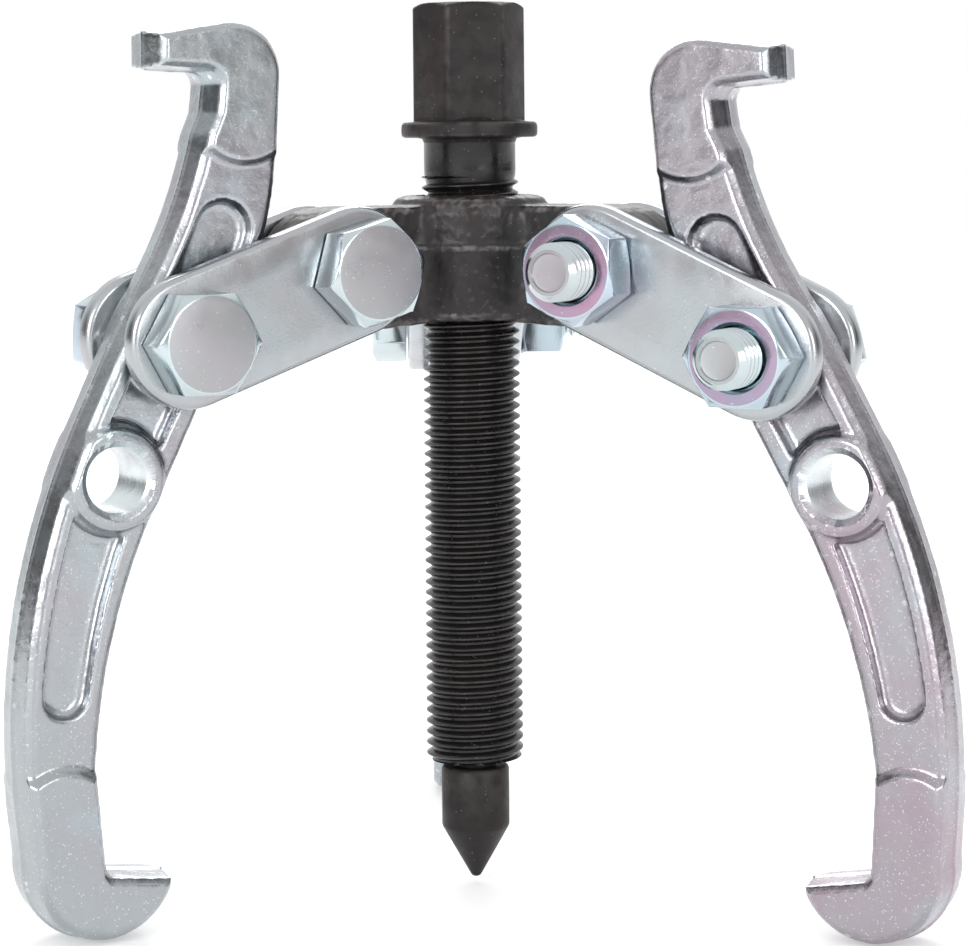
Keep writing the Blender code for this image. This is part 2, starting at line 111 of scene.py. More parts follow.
# %% [markdown]
# ## Hands
#
# A few small helpers stand for what the hands do over and over: pick an object, draw an outline point by
# point, spin up a turned part ring by ring, and work a modifier into the mesh. Modifiers could be left
# live, but a finished mesh is easier to cut and to hand on.


# %%
def pick(*objects):
    """Selects only these objects, the first of them active."""
    bpy.ops.object.select_all(action="DESELECT")
    for item in objects:
        item.select_set(True)
    bpy.context.view_layer.objects.active = objects[0]


def edit(item):
    """Opens edit mode with everything selected. done() closes it again."""
    pick(item)
    bpy.ops.object.mode_set(mode="EDIT")
    bpy.ops.mesh.select_mode(type="VERT")
    bpy.ops.mesh.select_all(action="SELECT")


def done(item):
    bpy.ops.object.mode_set(mode="OBJECT")
    return item


def extrude(x, y, z):
    bpy.ops.mesh.extrude_region_move(TRANSFORM_OT_translate={"value": (x * MM, y * MM, z * MM)})


def draw_line(points):
    """A chain of edges through points in space, made from a plane merged to its middle."""
    bpy.ops.object.select_all(action="DESELECT")
    bpy.ops.mesh.primitive_plane_add(size=2 * MM, location=(0, 0, 0))
    line = bpy.context.object
    edit(line)
    bpy.ops.mesh.merge(type="CENTER")
    bpy.ops.transform.translate(value=[value * MM for value in points[0]])
    for a, b in zip(points, points[1:]):
        extrude(b[0] - a[0], b[1] - a[1], b[2] - a[2])
    return done(line)


def draw_face(outline, height=0.0):
    """A flat face with this outline, its front side up."""
    face = draw_line([(x, y, height) for x, y in outline])
    edit(face)
    bpy.ops.mesh.edge_face_add()
    done(face)
    if face.data.polygons[0].normal.z < 0:
        edit(face)
        bpy.ops.mesh.flip_normals()
        done(face)
    return face


def select_faces(item, wanted):
    """Leaves edit mode open with only the faces whose middle passes the test selected."""
    edit(item)
    bpy.ops.mesh.select_mode(type="FACE")
    bpy.ops.mesh.select_all(action="DESELECT")
    bpy.ops.object.mode_set(mode="OBJECT")
    for face in item.data.polygons:
        face.select = wanted(face)
    bpy.ops.object.mode_set(mode="EDIT")


def without_doubles(item):
    """Deletes each face that lies on another one with the same corners."""
    seen = set()

    def met_before(face):
        corners = frozenset(face.vertices)
        again = corners in seen
        seen.add(corners)
        return again

    select_faces(item, met_before)
    bpy.ops.mesh.delete(type="ONLY_FACE")
    return done(item)


def work(item, kind, **settings):
    """Adds a modifier, sets it and works it into the mesh."""
    pick(item)
    bpy.ops.object.modifier_add(type=kind)
    step = item.modifiers[-1]
    for key, value in settings.items():
        setattr(step, key, value)
    bpy.ops.object.modifier_apply(modifier=step.name)
    return item


def tidy_normals(item):
    edit(item)
    bpy.ops.mesh.normals_make_consistent(inside=False)
    return done(item)


def plate(outline, low, high):
    """A flat piece with this outline, from one height to another."""
    item = draw_face(outline, low)
    edit(item)
    extrude(0, 0, high - low)
    done(item)
    return tidy_normals(item)


def swollen(outline, amount):
    """The outline moved outwards by the same amount all round, a little less at sharp corners."""
    sharpest = 0.6
    before, after = outline[-1:] + outline[:-1], outline[1:] + outline[:1]
    area = sum(a[0] * b[1] - b[0] * a[1] for a, b in zip(outline, after))
    moved = []
    for a, b, c in zip(before, outline, after):
        first = Vector((b[0] - a[0], b[1] - a[1])).normalized()
        second = Vector((c[0] - b[0], c[1] - b[1])).normalized()
        out = Vector((first.y + second.y, -first.x - second.x)).normalized()
        reach = amount / max(sharpest, out.dot(Vector((first.y, -first.x))))
        reach = math.copysign(reach, area)
        moved.append((b[0] + out.x * reach, b[1] + out.y * reach))
    return moved


def layered(outline, steps):
    """Half a forging: a flat face at the parting line, then rings that step in and up from it."""
    item = draw_face(outline)
    edit(item)
    bpy.ops.mesh.select_mode(type="FACE")
    extrude(0, 0, steps[0][1])
    for inward, up in steps[1:]:
        bpy.ops.mesh.inset(thickness=inward * MM, depth=up * MM, use_even_offset=True)
    done(item)
    select_faces(item, lambda face: abs(face.center.z) < 0.0001 * MM)
    bpy.ops.mesh.delete(type="ONLY_FACE")
    done(item)
    work(item, "MIRROR", use_axis=(False, False, True), merge_threshold=0.01 * MM)
    return tidy_normals(item)


def turned(profile, sides=72):
    """A turned part: rings of (radius, height), from the bottom up."""
    bpy.ops.object.select_all(action="DESELECT")
    radius, height = profile[0]
    bpy.ops.mesh.primitive_circle_add(
        vertices=sides, radius=radius * MM, fill_type="NGON", location=(0, 0, height * MM)
    )
    item = bpy.context.object
    pick(item)
    bpy.ops.object.transform_apply(location=True, rotation=True, scale=True)
    edit(item)
    bpy.ops.mesh.select_mode(type="FACE")
    for (r0, z0), (r1, z1) in zip(profile, profile[1:]):
        extrude(0, 0, z1 - z0)
        bpy.ops.transform.resize(value=(r1 / r0, r1 / r0, 1), center_override=(0, 0, z1 * MM))
    done(item)
    return tidy_normals(item)


def bevelled(item, width, segments=3, angle=50):
    return work(
        item, "BEVEL", width=width * MM, segments=segments, limit_method="ANGLE",
        angle_limit=math.radians(angle), use_clamp_overlap=False,
    )


def combine(item, other, operation="DIFFERENCE"):
    """Cuts a piece by another one, or keeps what they share, and clears the other one away."""
    work(item, "BOOLEAN", operation=operation, solver="EXACT", object=other)
    bpy.data.objects.remove(other, do_unlink=True)
    return item


def copied(item):
    pick(item)
    bpy.ops.object.duplicate(linked=False)
    return bpy.context.object


def joined(*items):
    pick(*items)
    bpy.ops.object.join()
    return bpy.context.object


def put(item, matrix):
    """Moves a piece and works the move into its mesh."""
    pick(item)
    item.matrix_world = matrix
    bpy.ops.object.transform_apply(location=True, rotation=True, scale=True)
    return item


def box(low, high):
    bpy.ops.object.select_all(action="DESELECT")
    centre = [(a + b) / 2 * MM for a, b in zip(low, high)]
    bpy.ops.mesh.primitive_cube_add(size=1, location=centre)
    item = bpy.context.object
    item.scale = [(b - a) * MM for a, b in zip(low, high)]
    pick(item)
    bpy.ops.object.transform_apply(location=True, rotation=True, scale=True)
    return item


def smooth(item, angle=32):
    pick(item)
    bpy.ops.object.shade_smooth_by_angle(angle=math.radians(angle))
    return item


def cast_together(item, grain, rounds):
    """Melts overlapping shapes into one skin of small even faces, then relaxes it."""
    work(item, "REMESH", mode="VOXEL", voxel_size=grain * MM, use_smooth_shade=True)
    return work(item, "SMOOTH", factor=0.5, iterations=rounds)


def uneven(item, scale, height, name):
    """Swells and dents a skin a little, mostly inwards, as a hammer or a sand mould would."""
    clouds = bpy.data.textures.new(name, "CLOUDS")
    clouds.noise_scale = scale * MM
    clouds.noise_depth = 2
    return work(item, "DISPLACE", texture=clouds, strength=height * MM, mid_level=0.85)


def arc(centre, radius, start, end, steps=12):
    """Points on a circle, from one bearing in degrees to another."""
    angles = [math.radians(start + (end - start) * step / steps) for step in range(steps + 1)]
    return [(centre[0] + radius * math.cos(a), centre[1] + radius * math.sin(a)) for a in angles]


def bow(start, end, radius, steps=12):
    """An arc between two points. With a positive radius it turns left on the way."""
    along = (end[0] - start[0], end[1] - start[1])
    chord = math.hypot(*along)
    side = math.copysign(1, radius)
    offset = side * math.sqrt(radius**2 - chord**2 / 4)
    centre = (
        (start[0] + end[0]) / 2 - along[1] / chord * offset,
        (start[1] + end[1]) / 2 + along[0] / chord * offset,
    )
    first = math.degrees(math.atan2(start[1] - centre[1], start[0] - centre[0]))
    sweep = side * 2 * math.degrees(math.asin(chord / (2 * abs(radius))))
    return arc(centre, abs(radius), first, first + sweep, steps)


def stroke(line, half_width, end_half_width, steps=10):
    """The outline of a band along a line, with round ends and an even taper between them."""
    share = (end_half_width - half_width) / (len(line) - 1)
    widths = [half_width + share * step for step in range(len(line))]
    headings = [
        math.degrees(math.atan2(b[1] - a[1], b[0] - a[0])) for a, b in zip(line[:-1], line[1:])
    ]
    headings = [headings[0], *headings]
    sides = []
    for turn in (-90, 90):
        sides.append([
            arc(point, width, heading + turn, heading + turn, 1)[0]
            for point, width, heading in zip(line, widths, headings)
        ])
    foot = arc(line[-1], end_half_width, headings[-1] - 90, headings[-1] + 90, steps)
    top = arc(line[0], half_width, headings[0] + 90, headings[0] + 270, steps)
    return sides[0][1:-1] + foot + sides[1][-2:0:-1] + top


ON_EDGE = Matrix.Rotation(math.radians(90), 4, "X")
ALONG_Y = Matrix.Rotation(math.radians(-90), 4, "X")


def turn_about(axis, degrees):
    return Matrix.Rotation(math.radians(degrees), 4, axis)


def shift(x, y, z):
    return Matrix.Translation((x * MM, y * MM, z * MM))


# %% [markdown]
# ## A screw thread
#
# One turn of the thread is a zigzag line. The Screw modifier winds it round the axis and lifts it by one
# pitch each turn, and welding joins the turns into one skin. Rings stacked on each other would be
# simpler, but they never climb, and a real thread seen close up does.


# %%
def thread(radius, pitch, depth, low, high, steps=60):
    """A threaded rod along Z. The profile gives how far out each share of a turn lies."""
    root = radius - depth
    shoulder = radius - 0.05
    profile = [
        (0, root), (0.12, root), (0.42, shoulder), (0.47, radius),
        (0.57, radius), (0.62, shoulder), (0.92, root), (1, root),
    ]
    item = draw_line([(out, 0, low - pitch + share * pitch) for share, out in profile])
    turns = math.ceil((high - low) / pitch) + 2
    work(
        item, "SCREW", axis="Z", angle=math.tau, screw_offset=pitch * MM, iterations=turns,
        steps=steps, render_steps=steps,
    )
    edit(item)
    bpy.ops.mesh.remove_doubles(threshold=0.002 * MM)
    for height, up in ((low, -1), (high, 1)):
        bpy.ops.mesh.select_all(action="SELECT")
        bpy.ops.mesh.bisect(
            plane_co=(0, 0, height * MM), plane_no=(0, 0, up), use_fill=True, clear_outer=True
        )
    done(item)
    return tidy_normals(item)


def hexagon(across_flats, low, high):
    """A six-sided bar along Z with a pair of flats square to Y."""
    corner = across_flats / 2 / math.cos(math.radians(30))
    outline = arc((0, 0), corner, 0, 300, 5)
    return plate(outline, low, high)


def chamfer_disc(across_flats, low, high, bottom=False, reach=0.5):
    """The turned blank whose cone takes the corners off a hexagon."""
    corner = across_flats / 2 / math.cos(math.radians(30)) + reach
    flat = across_flats / 2 - 0.2
    drop = (corner - flat) * math.tan(math.radians(30))
    rings = [(flat, low), (corner, low + drop)] if bottom else [(corner, low)]
    return turned([*rings, (corner, high - drop), (flat, high)], 96)


made = {}

# %% [markdown]
# ## The forcing screw
#
# A hexagon with softened corners, a flange, a plain neck and a long thread. The hexagon is forged, so
# its corners are bevelled and its top is dressed by a cone; the rest is turned on a lathe. The upper
# turns of the thread run out into the neck, which a cone rising inside the thread gives.

# %%
head = bevelled(hexagon(DRIVE_FLATS, 105.0, DRIVE_TOP + 1), 0.75, 4)
combine(head, chamfer_disc(DRIVE_FLATS, 104.5, DRIVE_TOP, reach=0.2), "INTERSECT")
head = bevelled(head, 0.22, 2, 25)
neck = turned([
    (5.3, 95.2), (5.9, 96.2), (6.42, 98.9), (6.45, 99.6), (6.45, 103.4), (6.7, 103.95),
    (7.4, 104.1), (9.15, 104.12), (9.5, 104.35), (9.6, 104.75), (9.6, 105.6), (9.5, 106.0),
    (9.2, 106.25), (8.4, 106.3), (7.6, 106.45), (7.05, 106.9), (6.9, 107.4), (6.8, 107.5),
], 96)
rod = thread(THREAD_RADIUS, 1.5, 0.85, THREAD_LOW, THREAD_HIGH)
lead_in = turned([
    (5.5, THREAD_LOW - 0.15), (5.5, THREAD_LOW), (THREAD_RADIUS + 0.02, THREAD_LOW + 1.25),
    (THREAD_RADIUS + 0.02, THREAD_HIGH + 0.4),
])
combine(rod, lead_in, "INTERSECT")
screw = without_doubles(joined(head, neck, rod))
smooth(screw, 30)
made["forcing_screw"] = put(screw, turn_about("Z", HEX_TURN))
print("forcing screw:", len(screw.data.polygons), "faces")

# %% [markdown]
# ## The centre point
#
# A separate hardened point that stays still while the screw turns on its stem. Its cone carries the fine
# rings that a lathe tool leaves, as real steps a few hundredths of a millimetre deep.

# %%
nose_radius, nose_height = 0.6, 0.12
point_radius = 4.75
rings = 24
cone = [(0.35, 0.0), (nose_radius, nose_height)]
for ring in range(1, rings):
    height = nose_height + (POINT_TOP - nose_height) * ring / rings
    radius = nose_radius + (point_radius - nose_radius) * ring / rings
    cone += [(radius, height - 0.05), (radius + 0.045, height)]
point = turned([
    *cone, (4.72, POINT_TOP), (point_radius, 7.6), (point_radius, 15.2), (4.6, 15.55),
    (4.25, 15.75), (3.0, 15.76), (3.0, 28.05),
], 72)
made["centre_point"] = smooth(point, 40)
print("centre point:", len(point.data.polygons), "faces")

# %% [markdown]
# ## The yoke
#
# The barrel, three lugs, the webs that ease them into the barrel and a thin ridge along the parting line
# are made apart and then melted into one skin by a voxel remesh. A chain of Booleans and fillets would
# also join them, but a forging has no crisp inner corners, and the remesh softens them all at once.


# %%
def yoke_plan(reach, side, barrel, fillet=4.0):
    """The yoke from above: a round barrel that flows into three straight lugs."""
    centre_side = side + fillet
    centre_out = math.sqrt((barrel + fillet) ** 2 - centre_side**2)
    bearing = math.degrees(math.atan2(centre_side, centre_out))
    outline = []
    lug_bearings = [arm["azimuth"] for arm in ARMS.values()]
    for azimuth in sorted(lug_bearings):
        turn = math.radians(azimuth)
        before = arc((centre_out, -centre_side), fillet, 180 - bearing, 90, 6)
        after = arc((centre_out, centre_side), fillet, 270, 180 + bearing, 6)
        lug = [*before, (reach, -side), (reach, side), *after]
        outline += [
            (x * math.cos(turn) - y * math.sin(turn), x * math.sin(turn) + y * math.cos(turn))
            for x, y in lug
        ]
        start = azimuth + bearing
        outline += arc((0, 0), barrel, start, start + 120 - 2 * bearing, 14)[1:-1]
    return outline


barrel = turned([
    (9.4, 78.6), (10.5, 78.85), (11.1, 79.5), (11.3, 80.6), (11.35, 88.0), (11.3, 93.6),
    (11.1, 94.7), (10.5, 95.6), (9.4, 96.0), (8.2, 96.05),
], 96)
shapes = [barrel]
for arm in ARMS.values():
    side_view = [
        (3, 78.8), (12, 78.2), *arc((LUG_REACH, LUG_HEIGHT), 8.6, -90, 90, 20), (12, 94.75), (3, 94.7)
    ]
    lug = bevelled(plate(side_view, -5.15, 5.15), 0.9, 3)
    put(lug, turn_about("Z", arm["azimuth"]) @ ON_EDGE)
    shapes.append(lug)
webs = bevelled(plate(yoke_plan(17.5, 5.1, 11.25), 79.4, 94.2), 1.2, 3)
ridge = plate(yoke_plan(30.7, 5.34, 11.62), 88.45, 89.15)
yoke = cast_together(joined(*shapes, webs, ridge), 0.3, 5)
uneven(yoke, 1.6, 0.22, "yoke_forging")
bore = turned([
    (7.6, 77.0), (7.6, 78.9), (7.0, 79.6), (7.0, 95.2), (7.7, 95.95), (7.7, 98.0),
], 96)
combine(yoke, bore)
for arm in ARMS.values():
    drill = turned([(HOLE_RADIUS, -8.0), (HOLE_RADIUS, 8.0)], 48)
    put(drill, turn_about("Z", arm["azimuth"]) @ shift(LUG_REACH, 0, LUG_HEIGHT) @ ON_EDGE)
    combine(yoke, drill)
made["yoke"] = smooth(yoke, 40)
print("yoke:", len(yoke.data.polygons), "faces")

# %% [markdown]
# ## A jaw
#
# The jaw is drawn once, flat, with its bolt hole at the origin. Its section is built up from the parting
# line in rings that step inwards, like a dropped forging: a thin ridge, a drafted side, a broad bevel and
# the flat face. Thicker pads at both hooks and two round bosses are laid over it, and everything is
# melted together, so that the steps keep the soft inner corners of a die.

# %%
throat = (-4.0, UPPER_GRIP - 2.5)  # centres of the round stretches of the outline
shoulder = (-8.3, UPPER_GRIP - 1.0)
heel = (10.8, FOOT + 2.95)
tip = heel[0] - 9.0
pocket_top = (-6.75, 14.4)
pocket_foot = (16.4, FOOT + 25.3)
upper_pad = (-9.9, UPPER_GRIP - 4.9)
lower_pad = (16.9, FOOT + 8.45)
jaw_outline = [
    (2.5, UPPER_GRIP), (2.5, UPPER_GRIP + 4.25),
    *arc(shoulder, 6.95, 81, 183, 16),
    *bow((-14.8, UPPER_GRIP - 9.8), (-12.6, 12.3), 40, 8),
    (-2.4, -10.3),
    *bow((1.6, -18.2), (12.2, FOOT + 13.75), -85, 14),
    (11.2, FOOT + 3.35), (10.9, FOOT + 1.85), (tip + 8.5, FOOT + 1.15), (tip, FOOT),
    *arc(heel, 9.8, 205, 364, 26),
    *bow((21.4, FOOT + 10.75), (12.8, -11.0), 90, 16),
    (8.6, -2.3),
    *bow((1.4, 11.0), (-4.5, UPPER_GRIP - 9.1), -65, 8),
    (throat[0] - 1.8, UPPER_GRIP - 6.1),
    *arc(throat, 2.2, 180, 90, 8),
]
core = layered(swollen(jaw_outline, 0.6), [(0, 0.3), (0.2, 0.1), (0.3, 3.1), (1.0, 0.75)])
pocket_line = [pocket_top, (0, 0), *bow(SPARE_HOLE, pocket_foot, -90, 14)]
for side in (1, -1):
    pocket = bevelled(plate(stroke(pocket_line, 4.1, 3.2), 2.6, 7.0), 1.05, 2, 60)
    if side < 0:
        put(pocket, turn_about("X", 180) @ Matrix.Scale(-1, 4, (0, 1, 0)))
        tidy_normals(pocket)
    combine(core, pocket)

thick = layered(
    swollen(jaw_outline, 0.5), [(0, 0.3), (0.15, 0.1), (0.35, 3.95), (0.3, 0.35), (0.5, 0.5)]
)
pads = []
for centre, radius, low, high in (
    (upper_pad, 7.5, (-30, upper_pad[1], -7), (20, 60, 7)),
    (lower_pad, 6.7, (-10, -90, -7), (40, lower_pad[1], 7)),
):
    disc = turned([
        (radius - 0.3, -EYE - 0.3), (radius + 1.3, -EYE + 1.3), (radius + 1.3, EYE - 1.3),
        (radius - 0.3, EYE + 0.3),
    ], 72)
    put(disc, shift(*centre, 0))
    pads.append(combine(copied(thick), disc, "INTERSECT"))
    pads.append(combine(copied(thick), box(low, high), "INTERSECT"))
bosses = []
for x, y in ((0, 0), SPARE_HOLE):
    boss = turned([
        (6.0, -EYE), (6.5, -EYE + 0.2), (6.75, -EYE + 0.7), (6.9, -4.2), (7.5, -3.6), (7.5, 3.6),
        (6.9, 4.2), (6.75, EYE - 0.7), (6.5, EYE - 0.2), (6.0, EYE),
    ], 72)
    put(boss, shift(x, y, 0))
    bosses.append(combine(boss, copied(thick), "INTERSECT"))
bpy.data.objects.remove(thick, do_unlink=True)
jaw = cast_together(joined(core, *pads, *bosses), 0.27, 2)
uneven(jaw, 2.6, 0.1, "jaw_forging")
drills = []
for x, y in ((0, 0), SPARE_HOLE):
    drill = turned([
        (5.9, -EYE - 0.6), (4.3, -EYE + 0.85), (4.3, EYE - 0.85), (5.9, EYE + 0.6),
    ], 72)
    drills.append(put(drill, shift(x, y, 0)))
combine(jaw, joined(*drills))
put(smooth(jaw, 42), ON_EDGE)
print("jaw:", len(jaw.data.polygons), "faces")

# %% [markdown]
# ## Straps, bolts and nuts
#
# A strap is a rounded bar of rolled strip with two holes; its edges are bevelled in several steps because
# rolling leaves them nearly round. A bolt head is a hexagon cut by a cone, and its thread is wound as the
# forcing screw's is. A nut has the cone on both faces and a countersunk hole.

# %%
strap = plate(
    arc((STRAP_PITCH, 0), STRAP_END, -90, 90, 28) + arc((0, 0), STRAP_END, 90, 270, 28), -1.6, 1.6
)
bevelled(strap, 0.95, 5)
for x in (0, STRAP_PITCH):
    drill = turned([(4.6, -1.8), (HOLE_RADIUS, -1.35), (HOLE_RADIUS, 1.35), (4.6, 1.8)], 64)
    combine(strap, put(drill, shift(x, 0, 0)))
put(smooth(strap, 40), ON_EDGE)

bolt_head = hexagon(BOLT_FLATS, SEAT - 0.5, HEAD_TOP + 1)
combine(bolt_head, chamfer_disc(BOLT_FLATS, SEAT, HEAD_TOP), "INTERSECT")
bevelled(bolt_head, 0.16, 2, 20)
shank = thread(BOLT_RADIUS, 1.25, 0.68, BOLT_END, -8.4, 48)
bolt_tip = turned([
    (1.9, BOLT_END + 0.35), (2.45, BOLT_END + 0.3), (2.6, BOLT_END), (3.05, BOLT_END + 0.02),
    (BOLT_RADIUS + 0.01, BOLT_END + 0.95), (BOLT_RADIUS + 0.01, -8.2),
])
combine(shank, bolt_tip, "INTERSECT")
plain = turned([(3.3, -8.6), (3.85, -8.2), (3.85, 9.4)], 48)
bolt = without_doubles(joined(bolt_head, shank, plain))
put(smooth(bolt, 30), ALONG_Y)

nut = hexagon(BOLT_FLATS, NUT_BOTTOM - 1, -SEAT + 1)
combine(nut, chamfer_disc(BOLT_FLATS, NUT_BOTTOM, -SEAT, bottom=True), "INTERSECT")
bevelled(nut, 0.16, 2, 20)
nut_bore = turned([
    (5.3, NUT_BOTTOM - 0.6), (4.7, NUT_BOTTOM), (4.22, NUT_BOTTOM + 0.5), (4.22, -SEAT - 0.5),
    (4.7, -SEAT), (5.3, -SEAT + 0.6),
], 64)
combine(nut, nut_bore)
without_doubles(nut)
put(smooth(nut, 30), ALONG_Y)
print("strap, bolt, nut:", [len(item.data.polygons) for item in (strap, bolt, nut)], "faces")

# %% [markdown]
# ## Three arms
#
# The four kinds of piece are copied out to the three arms, each copy with its own mesh. The place of an
# arm is a chain of turns, just as the joints chain: round the screw, down with the links, back with the
# jaw. Working the place into the mesh leaves every object unturned at the origin.

# %%
masters = {"strap": strap, "bolt": bolt, "nut": nut, "jaw": jaw}


def set_out(kind, name, matrix):
    made[name] = put(copied(masters[kind]), matrix)


for name, arm in ARMS.items():
    link = (
        turn_about("Z", arm["azimuth"])
        @ shift(LUG_REACH, 0, LUG_HEIGHT)
        @ turn_about("Y", arm["drop"])
    )
    set_out("strap", f"{name}_strap_head_side", link @ shift(0, STRAP_AT, 0))
    set_out("strap", f"{name}_strap_nut_side", link @ shift(0, -STRAP_AT, 0))
    for where, reach in (("yoke", 0), ("jaw", STRAP_PITCH)):
        for kind, turn in zip(("bolt", "nut"), HEX_TURNS[name][where]):
            set_out(kind, f"{name}_{where}_{kind}", link @ shift(reach, 0, 0) @ turn_about("Y", turn))
    knee = link @ shift(STRAP_PITCH, 0, 0) @ turn_about("Y", -arm["drop"] - arm["swing"])
    set_out("jaw", f"{name}_jaw", knee)
for item in masters.values():
    bpy.data.objects.remove(item, do_unlink=True)
print(len(made), "pieces")

# %% [markdown]
# ## Shared surface effects
#
# Zinc plate, black oxide, wear and painted edge highlights are built from the same few effects, so each
# effect is a node group with named knobs. A group only gives colours, masks and heights, and every
# material mixes them in its own way.


# %%
def new_group(name, knobs, results):
    """A node group with these inputs and outputs, and its two end nodes."""
    group = bpy.data.node_groups.new(name, "ShaderNodeTree")
    for label, kind, value in knobs:
        knob = group.interface.new_socket(label, in_out="INPUT", socket_type=kind)
        if value is not None:
            knob.default_value = value
    for label, kind in results:
        group.interface.new_socket(label, in_out="OUTPUT", socket_type=kind)
    return group, group.nodes.new("NodeGroupInput"), group.nodes.new("NodeGroupOutput")


def add(tree, kind, feeds=None, **settings):
    """A node with its settings; a feed that is a socket is linked, any other is set."""
    node = tree.nodes.new(kind)
    for key, value in settings.items():
        setattr(node, key, value)
    for key, value in (feeds or {}).items():
        if isinstance(value, bpy.types.NodeSocket):
            tree.links.new(value, node.inputs[key])
        else:
            node.inputs[key].default_value = value
    return node


def mix_colour(tree, factor, a, b):
    return add(tree, "ShaderNodeMix", {0: factor, 6: a, 7: b}, data_type="RGBA").outputs[2]


def scaled(tree, value, low, high, new_low=0.0, new_high=1.0):
    """The value stretched from one range to another and held inside it."""
    return add(
        tree, "ShaderNodeMapRange",
        {"Value": value, "From Min": low, "From Max": high, "To Min": new_low, "To Max": new_high},
    ).outputs[0]


def product(tree, a, b):
    return add(tree, "ShaderNodeMath", {0: a, 1: b}, operation="MULTIPLY").outputs[0]


film, knobs, result = new_group(
    "film_colour",
    [("Vector", "NodeSocketVector", None), ("Patch Size", "NodeSocketFloat", 40.0),
     ("Plain", "NodeSocketColor", (0.5, 0.5, 0.5, 1)), ("Blush", "NodeSocketColor", (0.5, 0.5, 0.5, 1)),
     ("Cool", "NodeSocketColor", (0.5, 0.5, 0.5, 1))],
    [("Color", "NodeSocketColor")],
)
knob = knobs.outputs
wide = add(film, "ShaderNodeTexNoise", {
    "Vector": knob["Vector"], "Scale": knob["Patch Size"], "Detail": 3.0, "Distortion": 0.6,
})
small = add(film, "ShaderNodeTexNoise", {"Vector": knob["Vector"], "Scale": 95.0, "Detail": 4.0})
blush = mix_colour(
    film, scaled(film, wide.outputs["Fac"], 0.45, 0.68), knob["Plain"], knob["Blush"]
)
cool = mix_colour(film, scaled(film, small.outputs["Fac"], 0.5, 0.78), blush, knob["Cool"])
film.links.new(cool, result.inputs["Color"])

specks, knobs, result = new_group(
    "specks",
    [("Vector", "NodeSocketVector", None), ("Fineness", "NodeSocketFloat", 2500.0),
     ("Share", "NodeSocketFloat", 0.1)],
    [("Mask", "NodeSocketFloat")],
)
knob = knobs.outputs
dots = add(specks, "ShaderNodeTexVoronoi", {"Vector": knob["Vector"], "Scale": knob["Fineness"]})
chance = add(specks, "ShaderNodeSeparateColor", {0: dots.outputs["Color"]}).outputs[0]
kept = add(specks, "ShaderNodeMath", {0: chance, 1: knob["Share"]}, operation="LESS_THAN")
spot = scaled(specks, dots.outputs["Distance"], 0.15, 0.5, 1.0, 0.0)
specks.links.new(product(specks, kept.outputs[0], spot), result.inputs["Mask"])

grain, knobs, result = new_group(
    "grain",
    [("Vector", "NodeSocketVector", None), ("Fineness", "NodeSocketFloat", 900.0),
     ("Pits", "NodeSocketFloat", 0.3)],
    [("Height", "NodeSocketFloat"), ("Patches", "NodeSocketFloat")],
)
knob = knobs.outputs
fine = add(grain, "ShaderNodeTexNoise", {
    "Vector": knob["Vector"], "Scale": knob["Fineness"], "Detail": 5.0, "Roughness": 0.6,
})
broad = add(grain, "ShaderNodeTexNoise", {"Vector": knob["Vector"], "Scale": 260.0, "Detail": 3.0})
pit = scaled(grain, broad.outputs["Fac"], 0.30, 0.48)
relief = add(grain, "ShaderNodeMath", {
    0: fine.outputs["Fac"], 1: product(grain, pit, knob["Pits"]),
}, operation="ADD")
grain.links.new(relief.outputs[0], result.inputs["Height"])
grain.links.new(broad.outputs["Fac"], result.inputs["Patches"])

# This edge mask serves both rubbed wear and painted edge highlights.
wear_and_highlight, knobs, result = new_group(
    "rubbed_and_highlit_edges",
    [("Vector", "NodeSocketVector", None), ("Start", "NodeSocketFloat", 0.52),
     ("End", "NodeSocketFloat", 0.6), ("Breakup", "NodeSocketFloat", 300.0)],
    [("Mask", "NodeSocketFloat")],
)
knob = knobs.outputs
edge = add(wear_and_highlight, "ShaderNodeNewGeometry").outputs["Pointiness"]
rubbed = scaled(wear_and_highlight, edge, knob["Start"], knob["End"])
broken = add(wear_and_highlight, "ShaderNodeTexNoise", {
    "Vector": knob["Vector"], "Scale": knob["Breakup"], "Detail": 4.0,
})
wear_and_highlight.links.new(
    product(wear_and_highlight, rubbed, scaled(wear_and_highlight, broken.outputs["Fac"], 0.38, 0.6)), result.inputs["Mask"]
)
print("effects:", [group.name for group in bpy.data.node_groups])

# %% [markdown]
# ## Zinc plate
#
# Clear zinc is a bright metal under a thin film that shifts between grey, mauve and a cold pale cyan.
# The film's colour wanders in wide patches, its roughness in smaller ones, and fine white specks on
# forged skin are painted glints. Sharp edges of the jaws get a pale cyan painted highlight. Each of the
# three jaws has its own tint. The sides of bolts and nuts are a paler, cooler copy of the zinc, a painted
# reflection of the bright room, and their flat faces a darker, duller copy.


# %%
def use(tree, group, feeds):
    """Puts a shared effect into a material and gives its outputs."""
    return add(tree, "ShaderNodeGroup", feeds, node_tree=group).outputs


def new_material(name):
    material = bpy.data.materials.new(name)
    material.use_nodes = True
    tree = material.node_tree
    place = add(tree, "ShaderNodeTexCoord").outputs["Object"]
    return material, tree, tree.nodes["Principled BSDF"], place


